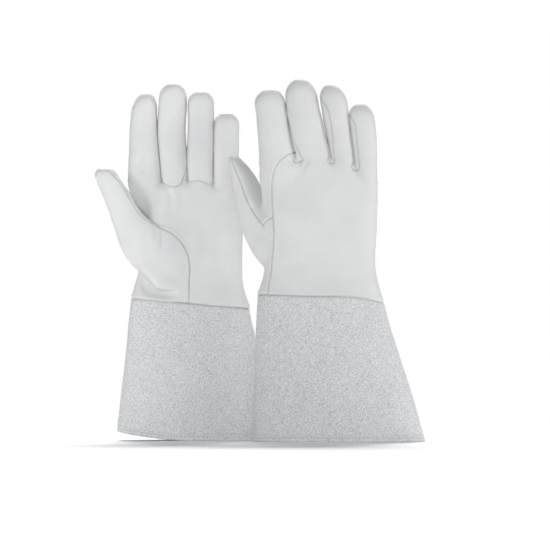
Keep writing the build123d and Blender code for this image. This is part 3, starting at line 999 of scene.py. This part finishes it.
def name_faces(glove, skin):
    """The panel that each triangle belongs to."""
    x, h, z = skin.points[skin.tris].mean(1).T
    on_thumb = skin.data["is_thumb"][skin.tris].sum(1) >= 2
    _, s = to_thumb(glove, x, z)
    finger = np.median(skin.data["finger"][skin.tris], axis=1).astype(int)
    root = knuckle_height(glove, x)
    for number, line in glove["base_seams"].items():
        root = np.where((finger == number) & (h > 0), smooth_curve(x, line), root)
    names = np.full(len(skin.tris), "palm_panel", dtype=object)
    back = (back_region(glove, x, h, z) > 0) & ~on_thumb
    names[back] = "back_panel"
    names[(wing_region(glove, x, h, z) > 0) & ~back] = "thumb_wing"
    for number in range(4):
        here = (z > root) & (finger == number) & ~on_thumb
        names[here] = panel_names(glove, number, x[here], h[here], z[here])
    behind = thumb_depth(glove, x, h, z) < 0.0
    inner = np.where(behind, thumb_side(glove, x, z), thumb_palm_side(glove, x, h, z)) > 0
    names[on_thumb & (s <= 0)] = "thumb_wing"
    names[on_thumb & (s > 0)] = "thumb_wrap"
    names[on_thumb & inner & ((s > 0) | (behind & (s > -16)))] = "thumb_inner_strip"
    return names


def panel_names(glove, number, x, h, z):
    """The panel of each point on one finger."""
    digit = glove["fingers"][number]
    front = digit_place(digit, x, h, z)[1] > 0
    names = np.where(front, f"{digit.name}_front", f"{digit.name}_back").astype(object)
    if digit.name == "index":
        names[:] = "index_wrap"
    for side, word in ((-1, "inner_fourchette"), (1, "outer_fourchette")):
        if digit.strips[side] is None:
            continue
        gap = number if side > 0 else number - 1
        palm, back = (strip_field(glove, gap, turn, number, x, h, z) for turn in (1, -1))
        if digit.name in ("index", "little"):
            word = "fourchette"
        names[np.where(front, palm, back) > 0] = f"{digit.name}_{word}"
    return names


# ---- finishing the leather


def seam_distances(skin, reach=9.0):
    """For each point, how far the nearest seam is."""
    spots = skin.points[skin.data["seam"]]
    tree = kdtree.KDTree(len(spots))
    for number, spot in enumerate(spots):
        tree.insert(spot, number)
    tree.balance()
    return np.array([min(tree.find(point)[2], reach) for point in skin.points])


def shape_seams(glove, skin):
    """Sinks the seams into the leather, with a ridge on one side and small puckers."""
    for longest, reach in FINER:
        skin.refine(seam_distances(skin) < reach, longest)
    away = seam_distances(skin)
    x, h, z = skin.points.T
    normal = skin.normals()
    is_thumb = skin.data["is_thumb"]
    _, s = to_thumb(glove, x, z)
    ends = np.array([digit.outline[-1][0] for digit in glove["fingers"]])[skin.data["finger"]]
    below_tip = np.where(is_thumb, glove["thumb_end"] - s, ends - z)
    calmest = np.where(is_thumb, THUMB_TIP_SEAM, FINGER_TIP_SEAM)
    calm = calmest + (1.0 - calmest) * smooth_step(below_tip, 2.0, 10.0)
    sink = calm * (SEAM_DEPTH * bell(away, SEAM_WIDTH) + DRAW_DEPTH * bell(away, DRAW_WIDTH))
    ridge = RIDGE * carrying_side(glove, x, h, z) * bell(away - RIDGE_PLACE, RIDGE_WIDTH)
    pucker = PUCKER * soft_noise(x, h, z, 6.5, 21) * bell(away, PUCKER_WIDTH)
    skin.points = skin.points + normal * (calm * (ridge + pucker) - sink)[:, None]
    line = (0.3 + 0.7 * calm) * bell(away, SEAM_LINE)
    dart_x, dart_z = glove["dart"]
    dart = np.where((h > 0) & ~is_thumb, bell(np.hypot(x - dart_x, z - dart_z), DART_WIDTH), 0.0)
    skin.points = skin.points - normal * (DART_DEPTH * dart)[:, None]
    # the seams' dark lines and the dart, with painted shade on the thumb's inner face and under its ball
    skin.data["crease"] = np.maximum(np.maximum(line, painted_shade(glove, skin, x, h, z)), dart)


def painted_shade(glove, skin, x, h, z):
    """Painted shade: greys the thumb's inner face towards the crotch, where the index shades it, and the fold
    under its ball.
    """
    inner = skin.data["is_thumb"] & (thumb_depth(glove, x, h, z) < 0.0)
    # painted shade: the thumb's inner face darkens towards the crotch, where the index would shade it
    grey = np.where(inner, THUMB_PAINTED_SHADE * smooth_step(thumb_side(glove, x, z), 2.0, 13.0), 0.0)
    # painted shade in the fold under the ball of the left thumb, where the ball overhangs it
    if glove["ball_fold"]:
        under = seam_side(x, z, glove["ball_fold"])
        span = (1 - smooth_step(x, -96.0, -80.0)) * smooth_step(h, 0.0, 6.0)
        fold = FOLD_PAINTED_SHADE * span * smooth_step(under, -0.3, 1.2) * (1 - smooth_step(under, 3.0, 15.0))
        grey = np.maximum(grey, np.where(z < 172.0, fold, 0.0))
    return grey


def carrying_side(glove, x, h, z):
    """1 on the panels whose edge lies over the seam allowance, and 0 on the others."""
    wing = wing_region(glove, x, h, z) > 0
    palm_wrap = (h < 0) & (back_region(glove, x, h, z) < 0)
    return np.where((wing | palm_wrap) & (z < knuckle_height(glove, x) + 8), 1.0, 0.25)


def roll_wrist(glove, skin):
    """Turns the lower edge of the hand inwards, where the cuff is sewn on."""
    x, _, z = skin.points.T
    up = z - smooth_curve(x, glove["wrist"])
    sink = np.where(up < 8, 1.2 * bell(up, 0.8) - 0.30 * bell(up - 2.7, 1.3), 0.0)
    skin.points = skin.points - skin.normals() * sink[:, None]
    skin.data["crease"] = np.maximum(skin.data["crease"], bell(up, 0.8))


def to_frame(glove, points):
    """Glove millimetres to metres in the frame's axes."""
    x, h, z = np.asarray(points, float).T
    return np.stack([x, glove["plane"] + glove["palm"] * h, z], 1) * MM


def new_piece(name, points, faces, material, normals=None, **numbers):
    """A mesh object from points and faces in metres, with its numbers as point attributes."""
    mesh = bpy.data.meshes.new(name)
    mesh.from_pydata(np.asarray(points).tolist(), [], [list(f) for f in faces])
    mesh.validate(clean_customdata=False)
    mesh.polygons.foreach_set("use_smooth", [True] * len(mesh.polygons))
    rest = mesh.attributes.new("rest", "FLOAT_VECTOR", "POINT")
    rest.data.foreach_set("vector", np.asarray(points, np.float32).ravel())
    for key, values in numbers.items():
        attribute = mesh.attributes.new(key, "FLOAT", "POINT")
        attribute.data.foreach_set("value", np.asarray(values, np.float32))
    mesh.update()
    if normals is not None:
        mesh.normals_split_custom_set_from_vertices(np.asarray(normals).tolist())
    piece = bpy.data.objects.new(name, mesh)
    bpy.context.scene.collection.objects.link(piece)
    mesh.materials.append(material)
    return piece


def make_hand(glove, leather):
    skin = make_hand_skin(glove)
    cut_hand(glove, skin)
    shape_seams(glove, skin)
    names = name_faces(glove, skin)
    roll_wrist(glove, skin)
    side = glove["side"]
    normal = skin.normals() * np.array([1.0, glove["palm"], 1.0])
    places = to_frame(glove, skin.points)
    for name in sorted(set(names)):
        tris = skin.tris[names == name]
        used = np.unique(tris)
        index = np.full(len(places), -1)
        index[used] = np.arange(len(used))
        faces = index[tris]
        if glove["palm"] < 0:
            faces = faces[:, ::-1]
        piece = new_piece(f"{side}_{name}_leather", places[used], faces, leather, normal[used],
                          crease=skin.data["crease"][used])
        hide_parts(f"{side}_{name}")
        digit = name.split("_")[0]
        if digit in glove["knuckles"] and name != "thumb_wing":
            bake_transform(piece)
        else:
            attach(piece, f"{side}_hand")


# ---- cuffs


def cuff_ring(glove, t, z):
    """A point of the plain cuff: t runs 0 to 1 from the thumb side to the other side."""
    left = smooth_curve(z, glove["cuff_left"])
    right = smooth_curve(z, glove["cuff_right"])
    deep = smooth_curve(z, glove["cuff_depth"])
    power = 2.15 + 0.45 * smooth_step(z, 60.0, 135.0)
    angle = math.pi * (1 - t)
    u, v = np.cos(angle), np.sin(angle)
    size = (np.abs(u) ** power + np.abs(v) ** power) ** (-1.0 / power)
    return (left + right) / 2 + (right - left) / 2 * u * size, deep * v * size


def even_steps(glove, count):
    """Values of t that space the cuff's points evenly round its mouth."""
    t = np.linspace(0.0, 1.0, 1201)
    x, h = cuff_ring(glove, t, 30.0)
    run = np.concatenate([[0.0], np.cumsum(np.hypot(np.diff(x), np.diff(h)))])
    return np.interp(np.linspace(0, run[-1], count), run, t), run[-1]


def hem_lift(glove, x):
    reach = (x - HEM_LIFT_START) / (glove["cuff_left"][0][1] - HEM_LIFT_START)
    return glove["hem_lift"] * np.clip(reach, 0, 1.1) ** 2


def cuff_point(glove, face, t, height, offset, share):
    """The point of one cuff half: height above the hem's edge, or, where share is given,
    a share of the way from the edge to the wrist. offset is inwards through the leather."""
    z = np.full(np.shape(t), 60.0)
    for _ in range(4):  # the edge's lift and the wrist's height depend on x, and x on the height
        x, h = cuff_ring(glove, t, z)
        low = hem_lift(glove, x)
        top = smooth_curve(x, glove["wrist"]) + 0.4
        z = np.where(share >= 0, low + (top - low) * share, low + height)
    x, h = cuff_ring(glove, t, z)
    step = 1e-3
    x1, h1 = cuff_ring(glove, np.clip(t + step, 0, 1), z)
    x0, h0 = cuff_ring(glove, np.clip(t - step, 0, 1), z)
    nx, nh = -(h1 - h0), (x1 - x0)
    length = np.hypot(nx, nh)
    nx, nh = nx / length, nh / length
    edge = np.minimum(t, 1 - t) * glove["half_round"]
    closing = 0.85 * bell(edge, 0.9) - 0.25 * bell(edge - 2.2, 1.0)
    inward = offset + cuff_wave(glove, face, x, h, z) + wrist_roll(top - z)
    inward = inward + np.where(offset < 1.0, closing, 0.0)
    return np.stack([x - nx * inward, (h - nh * inward) * face, z], -1)


def wrist_roll(under):
    """How far the cuff's upper edge turns in, under the hand's leather."""
    return 1.5 * bell(np.clip(under, 0, None), 1.3) - 0.3 * bell(under - 3.2, 1.6)


def cuff_wave(glove, face, x, h, z):
    """The cuff's gentle unevenness, always inwards, with its hem and its nap."""
    seed = glove["seeds"][2]
    loose = 1.0 - smooth_step(z, 60.0, 132.0)
    slow = 0.5 + 0.5 * np.clip(soft_noise(x, face * h, z * 0.35, 62.0, seed), -1, 1)
    quick = 0.5 + 0.5 * np.clip(soft_noise(x, face * h, z * 0.8, 24.0, seed + 1), -1, 1)
    wave = CUFF_WAVE * slow * (0.35 + 0.65 * loose) + 0.35 * quick
    above = z - hem_lift(glove, x)
    hem_step = HEM_STEP * smooth_step(above, HEM_WIDTH - 0.6, HEM_WIDTH + 2.2)
    sunk = 0.32 * bell(above - HEM_STITCH, 1.0)
    nap = 0.075 * soft_noise(x, face * h, z, 3.6, seed + 2) + 0.06 * soft_noise(x, face * h, z, 2.1, seed + 3)
    return wave + hem_step + sunk + nap


def cuff_profile():
    """(height, share, offset) of each row round the leather, from the wrist down, round the
    hem's edge and back up inside. A height goes with a share of -1, which means none."""
    count = int(CUFF_TALL / CUFF_STEP)
    shares = [1.0 - k / count for k in range(count + 1)]
    rows = [(0.0, share, 0.0) for share in shares if share * CUFF_TALL > 2.4]
    rows += [(height, -1.0, 0.0) for height in (2.1, 1.7)]
    for k in range(1, 8):
        angle = math.pi * k / 8
        rows.append((HEM_BEND - HEM_BEND * math.sin(angle), -1.0, HEM_BEND - HEM_BEND * math.cos(angle)))
    rows += [(height, -1.0, 2 * HEM_BEND) for height in (1.7, 5.0, 9.0, HEM_WIDTH - 0.5)]
    rows += [(HEM_WIDTH, -1.0, 2 * HEM_BEND - 0.4), (HEM_WIDTH + 0.1, -1.0, SPLIT + 0.1)]
    rows += [(0.0, share, SPLIT) for share in (0.14, 0.25, 0.4, 0.55, 0.7, 0.82, 0.92, 1.0)]
    return rows


def make_cuff(glove, face, suede, thread):
    """One half of a cuff: face is 1 on the palm side and -1 on the back."""
    side = glove["side"]
    word = "front" if face > 0 else "back"
    glove["half_round"] = even_steps(glove, 3)[1]
    count = int(glove["half_round"] / CUFF_STEP)
    steps, _ = even_steps(glove, count + 1)
    grid = np.array([
        cuff_point(glove, face, steps, height, offset, np.full(len(steps), share))
        for height, share, offset in cuff_profile()
    ])
    tall, wide = grid.shape[:2]
    points = grid.reshape(-1, 3)
    faces = []
    for j in range(tall):
        here, below = j * wide, (j + 1) % tall * wide
        faces += [(here + i, here + i + 1, below + i + 1, below + i) for i in range(wide - 1)]
    faces.append([j * wide for j in range(tall)][::-1])
    faces.append([j * wide + wide - 1 for j in range(tall)])
    if face * glove["palm"] > 0:
        faces = [tuple(f)[::-1] for f in faces]
    low = points[:, 2] - hem_lift(glove, points[:, 0])
    hem = 0.95 * bell(low - HEM_STITCH, 0.8) + 0.25 * bell(low, 1.2)
    top = smooth_curve(points[:, 0], glove["wrist"])
    crease = np.maximum(hem, bell(top - points[:, 2], 0.9))
    piece = new_piece(f"{side}_cuff_{word}_suede", to_frame(glove, points), faces, suede, crease=crease)
    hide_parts(f"{side}_cuff_{word}")
    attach(piece, f"{side}_hand")
    make_hem_stitches(glove, face, word, thread)


def make_hem_stitches(glove, face, word, thread):
    """A row of lockstitches through the hem."""
    run = glove["half_round"]
    count = int((run - 3.0) / STITCH_PITCH)
    half = STITCH_HALF / run
    maker = np.random.default_rng(70 + (face > 0) + 2 * (glove["palm"] > 0))
    points, faces = [], []
    steps, _ = even_steps(glove, 2001)
    for k in range(count):
        middle = (k + 0.5 + 0.06 * maker.normal()) / count
        height = HEM_STITCH + 0.10 * maker.normal()
        ends = np.interp([middle - half, middle, middle + half], np.linspace(0, 1, 2001), steps)
        line = cuff_point(glove, face, ends, height, -0.04, np.full(3, -1.0))
        add_stitch(points, faces, line)
    piece = new_piece(f"{glove['side']}_hem_stitches_{word}", to_frame(glove, points), faces, thread)
    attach(piece, f"{glove['side']}_hand")


def add_stitch(points, faces, line):
    """A short round thread that dives in at both ends of the line."""
    start, middle, end = line
    along = (end - start) / np.linalg.norm(end - start)
    out = np.cross(along, [0.0, 0.0, 1.0])
    out /= np.linalg.norm(out)
    if out[1] * middle[1] < 0:
        out = -out
    up = np.cross(out, along)
    first = len(points)
    for place, thick, rise in STITCH_RINGS:
        centre = middle + (end - start) / 2 * place + out * rise
        for k in range(STITCH_SIDES):
            angle = 2 * math.pi * k / STITCH_SIDES
            points.append(centre + THREAD_RADIUS * thick * (out * math.cos(angle) + up * math.sin(angle)))
    for j in range(len(STITCH_RINGS) - 1):
        ring = first + j * STITCH_SIDES
        for k in range(STITCH_SIDES):
            a, b = ring + k, ring + (k + 1) % STITCH_SIDES
            faces.append((a, b, b + STITCH_SIDES, a + STITCH_SIDES))
    faces.append([first + k for k in range(STITCH_SIDES)][::-1])
    faces.append([first + (len(STITCH_RINGS) - 1) * STITCH_SIDES + k for k in range(STITCH_SIDES)])


# ---- materials


class Nodes:
    """Short names for the few node kinds that the materials use."""

    def __init__(self, name):
        self.material = bpy.data.materials.new(name)
        self.material.use_nodes = True
        self.tree = self.material.node_tree
        self.shader = self.tree.nodes["Principled BSDF"]

    def node(self, kind, **settings):
        made = self.tree.nodes.new(kind)
        for key, value in settings.items():
            setattr(made, key, value)
        return made

    def link(self, out, into):
        self.tree.links.new(out, into)

    def rest(self):
        return self.node("ShaderNodeAttribute", attribute_name="rest").outputs["Vector"]

    def number(self, name):
        return self.node("ShaderNodeAttribute", attribute_name=name).outputs["Fac"]

    def noise(self, place, size, detail=3.0, rough=0.5):
        made = self.node("ShaderNodeTexNoise")
        self.link(place, made.inputs["Vector"])
        made.inputs["Scale"].default_value = 1.0 / (size * MM)
        made.inputs["Detail"].default_value = detail
        made.inputs["Roughness"].default_value = rough
        return made.outputs["Fac"]

    def cells(self, place, size, feature="F1"):
        made = self.node("ShaderNodeTexVoronoi", feature=feature)
        self.link(place, made.inputs["Vector"])
        made.inputs["Scale"].default_value = 1.0 / (size * MM)
        return made.outputs["Distance"]

    def mapped(self, value, low, high, to_low, to_high, smooth=False):
        made = self.node("ShaderNodeMapRange")
        made.interpolation_type = "SMOOTHSTEP" if smooth else "LINEAR"
        self.link(value, made.inputs["Value"])
        for key, number in zip(("From Min", "From Max", "To Min", "To Max"), (low, high, to_low, to_high)):
            made.inputs[key].default_value = number
        return made.outputs["Result"]

    def math(self, operation, a, b):
        made = self.node("ShaderNodeMath", operation=operation)
        for value, socket in ((a, made.inputs[0]), (b, made.inputs[1])):
            if isinstance(value, (int, float)):
                socket.default_value = value
            else:
                self.link(value, socket)
        return made.outputs["Value"]

    def mix(self, share, a, b):
        made = self.node("ShaderNodeMix", data_type="RGBA")
        self.link(share, made.inputs["Factor"])
        for value, key in ((a, "A"), (b, "B")):
            socket = next(s for s in made.inputs if s.name == key and s.type == "RGBA")
            if isinstance(value, tuple):
                socket.default_value = (*value, 1.0)
            else:
                self.link(value, socket)
        return next(s for s in made.outputs if s.type == "RGBA")

    def bump(self, height, distance, strength=1.0, below=None):
        made = self.node("ShaderNodeBump")
        made.inputs["Distance"].default_value = distance * MM
        made.inputs["Strength"].default_value = strength
        self.link(height, made.inputs["Height"])
        if below is not None:
            self.link(below, made.inputs["Normal"])
        return made.outputs["Normal"]


def grain_leather():
    """Smooth pale glove leather: fine pebbled grain with pores, soft blotches, dark in seams, and painted
    shade on the thumb's inner face and under the ball of the left thumb.
    """
    m = Nodes("grain_leather")
    place = m.rest()
    blotches = m.noise(place, 38.0, 4.0, 0.55)
    flecks = m.noise(place, 1.6, 3.0, 0.6)
    base = m.mix(m.mapped(blotches, 0.3, 0.7, 0.0, 1.0), (0.700, 0.700, 0.701), (0.765, 0.764, 0.763))
    base = m.mix(m.mapped(flecks, 0.35, 0.75, 0.0, 0.35), base, (0.66, 0.66, 0.655))
    # darkens the seams' lines, and paints shade on the thumb's inner face and under the ball of the left
    # thumb
    base = m.mix(m.mapped(m.number("crease"), 0.0, 1.0, 0.0, 0.45), base, (0.36, 0.36, 0.355))
    m.link(base, m.shader.inputs["Base Color"])
    m.shader.inputs["Specular IOR Level"].default_value = 0.32
    rough = m.mapped(m.noise(place, 9.0, 3.0, 0.6), 0.3, 0.7, 0.50, 0.64)
    m.link(rough, m.shader.inputs["Roughness"])
    pebbles = m.cells(place, 0.85)
    lines = m.cells(place, 2.1, "DISTANCE_TO_EDGE")
    pebble_bump = m.bump(m.mapped(pebbles, 0.0, 0.8, 1.0, 0.0), 0.035, 0.6)
    line_bump = m.bump(m.mapped(lines, 0.0, 0.12, 0.0, 1.0, True), 0.03, 0.5, pebble_bump)
    slow = m.bump(m.noise(place, 5.0, 4.0, 0.6), 0.22, 0.6, line_bump)
    m.link(slow, m.shader.inputs["Normal"])
    return m.material


def split_leather():
    """Napped split leather: short matted fibres, mottled cool grey, quite matt."""
    m = Nodes("split_leather")
    place = m.rest()
    speckle = m.noise(place, 1.5, 5.0, 0.8)
    fine = m.noise(place, 1.0, 4.0, 0.8)
    clouds = m.noise(place, 22.0, 4.0, 0.6)
    base = m.mix(m.mapped(clouds, 0.3, 0.7, 0.0, 1.0), (0.645, 0.650, 0.660), (0.705, 0.710, 0.719))
    base = m.mix(m.mapped(speckle, 0.44, 0.57, 0.0, 0.95), base, (0.86, 0.865, 0.875))
    base = m.mix(m.mapped(fine, 0.50, 0.60, 0.0, 0.90), base, (0.37, 0.375, 0.386))
    base = m.mix(m.mapped(m.number("crease"), 0.0, 1.0, 0.0, 0.6), base, (0.36, 0.362, 0.37))
    m.link(base, m.shader.inputs["Base Color"])
    m.shader.inputs["Roughness"].default_value = 0.95
    m.shader.inputs["Specular IOR Level"].default_value = 0.15
    m.shader.inputs["Sheen Weight"].default_value = 0.25
    m.shader.inputs["Sheen Roughness"].default_value = 0.6
    nap = m.bump(fine, 0.35, 0.8)
    tufts = m.bump(speckle, 0.55, 0.8, nap)
    m.link(tufts, m.shader.inputs["Normal"])
    return m.material


def sewing_thread():
    """Off-white twisted thread."""
    m = Nodes("sewing_thread")
    fibres = m.noise(m.rest(), 0.35, 3.0, 0.6)
    base = m.mix(m.mapped(fibres, 0.3, 0.7, 0.0, 1.0), (0.86, 0.86, 0.85), (0.95, 0.95, 0.94))
    m.link(base, m.shader.inputs["Base Color"])
    m.shader.inputs["Roughness"].default_value = 0.7
    m.link(m.bump(fibres, 0.08, 0.6), m.shader.inputs["Normal"])
    return m.material


# ---- stage, light and camera

VIEW_WIDTH = 0.5335  # width of the picture at the gloves, in metres
CAMERA_DISTANCE = 8.0
AIM = (0.0145, 0.0, 0.161)
SENSOR = 36.0
FLOOR_REACH = (4.0, 0.8, 3.0)  # towards the camera, behind the gloves, to each side


def make_stage():
    near, far, side = FLOOR_REACH
    points = [(-side, -near, 0.0), (side, -near, 0.0), (side, far, 0.0), (-side, far, 0.0)]
    m = Nodes("floor")
    grain = m.noise(m.node("ShaderNodeNewGeometry").outputs["Position"], 30.0)
    base = m.mix(m.mapped(grain, 0.3, 0.7, 0.0, 1.0), (0.95, 0.95, 0.95), (0.955, 0.955, 0.955))
    m.link(base, m.shader.inputs["Base Color"])
    m.shader.inputs["Roughness"].default_value = 0.9
    m.shader.inputs["Emission Color"].default_value = (1.0, 1.0, 1.0, 1.0)
    m.shader.inputs["Emission Strength"].default_value = 0.06
    floor = new_piece("floor", points, [(0, 1, 2, 3)], m.material)


# Suns: name, direction round from the front (positive to the right), height, softness and strength.
# The first three numbers are in degrees.
LIGHTS = (
    ("behind", 180.0, 45.0, 22.0, 3.1),
    ("front left", -65.0, 15.0, 30.0, 0.25),
    ("front right", 65.0, 15.0, 30.0, 0.88),
    ("right", 90.0, 15.0, 30.0, 0.40),
    ("front", 0.0, 14.0, 40.0, 0.92),
    ("upper right", 35.0, 40.0, 40.0, 0.12),
)


def add_light(name, around, height, softness, strength):
    light = bpy.data.lights.new(name, "SUN")
    light.energy = strength
    light.angle = math.radians(softness)
    lamp = bpy.data.objects.new(name, light)
    turn, rise = math.radians(around), math.radians(height)
    towards = Vector((math.sin(turn) * math.cos(rise), -math.cos(turn) * math.cos(rise), math.sin(rise)))
    lamp.rotation_euler = towards.to_track_quat("Z", "Y").to_euler()
    bpy.context.scene.collection.objects.link(lamp)


# The left glove's own softbox: its place and aim in metres, its size, spread in degrees and power
BOX_PLACE = (-1.4, -1.0, 0.5)
BOX_AIM = (-0.33, 0.0, 0.22)
BOX_SIZE = (0.4, 0.8)
BOX_SPREAD = 24.0
BOX_POWER = 0.34


def add_left_box():
    """A narrow softbox that reaches the left glove and fades before the right one."""
    light = bpy.data.lights.new("left box", "AREA")
    light.shape = "RECTANGLE"
    light.size, light.size_y = BOX_SIZE
    light.spread = math.radians(BOX_SPREAD)
    light.energy = BOX_POWER
    lamp = bpy.data.objects.new("left box", light)
    lamp.location = BOX_PLACE
    towards = Vector(BOX_AIM) - lamp.location
    lamp.rotation_euler = towards.to_track_quat("-Z", "Y").to_euler()
    lamp.visible_camera = False
    bpy.context.scene.collection.objects.link(lamp)


def make_light():
    for name, around, height, softness, strength in LIGHTS:
        add_light(name, around, height, softness, strength)
    add_left_box()
    world = bpy.data.worlds.new("studio")
    bpy.context.scene.world = world
    world.use_nodes = True
    tree = world.node_tree
    # A faint cool fill for the gloves, and plain white where the camera sees past the floor
    ground = tree.nodes["Background"]
    ground.inputs["Color"].default_value = (0.80, 0.90, 1.0, 1.0)
    ground.inputs["Strength"].default_value = 0.08
    seen = tree.nodes.new("ShaderNodeBackground")
    seen.inputs["Color"].default_value = (1.0, 1.0, 1.0, 1.0)
    seen.inputs["Strength"].default_value = 1.0
    ray = tree.nodes.new("ShaderNodeLightPath")
    mixer = tree.nodes.new("ShaderNodeMixShader")
    tree.links.new(ray.outputs["Is Camera Ray"], mixer.inputs[0])
    tree.links.new(ground.outputs[0], mixer.inputs[1])
    tree.links.new(seen.outputs[0], mixer.inputs[2])
    tree.links.new(mixer.outputs[0], tree.nodes["World Output"].inputs["Surface"])


def make_camera():
    lens = bpy.data.cameras.new("camera")
    lens.sensor_width = SENSOR
    lens.lens = SENSOR * CAMERA_DISTANCE / VIEW_WIDTH
    lens.clip_end = 50.0
    camera = bpy.data.objects.new("camera", lens)
    camera.location = (AIM[0], AIM[1] - CAMERA_DISTANCE, AIM[2])
    camera.rotation_euler = (math.radians(90.0), 0.0, 0.0)
    bpy.context.scene.collection.objects.link(camera)
    bpy.context.scene.camera = camera


# ---- the scene

bpy.context.scene.view_settings.view_transform = "Standard"
make_camera()
make_light()
make_stage()
leather, suede, thread = grain_leather(), split_leather(), sewing_thread()
for glove in (LEFT, RIGHT):
    prepare(glove)
    make_hand(glove, leather)
    for face in (1, -1):
        make_cuff(glove, face, suede, thread)
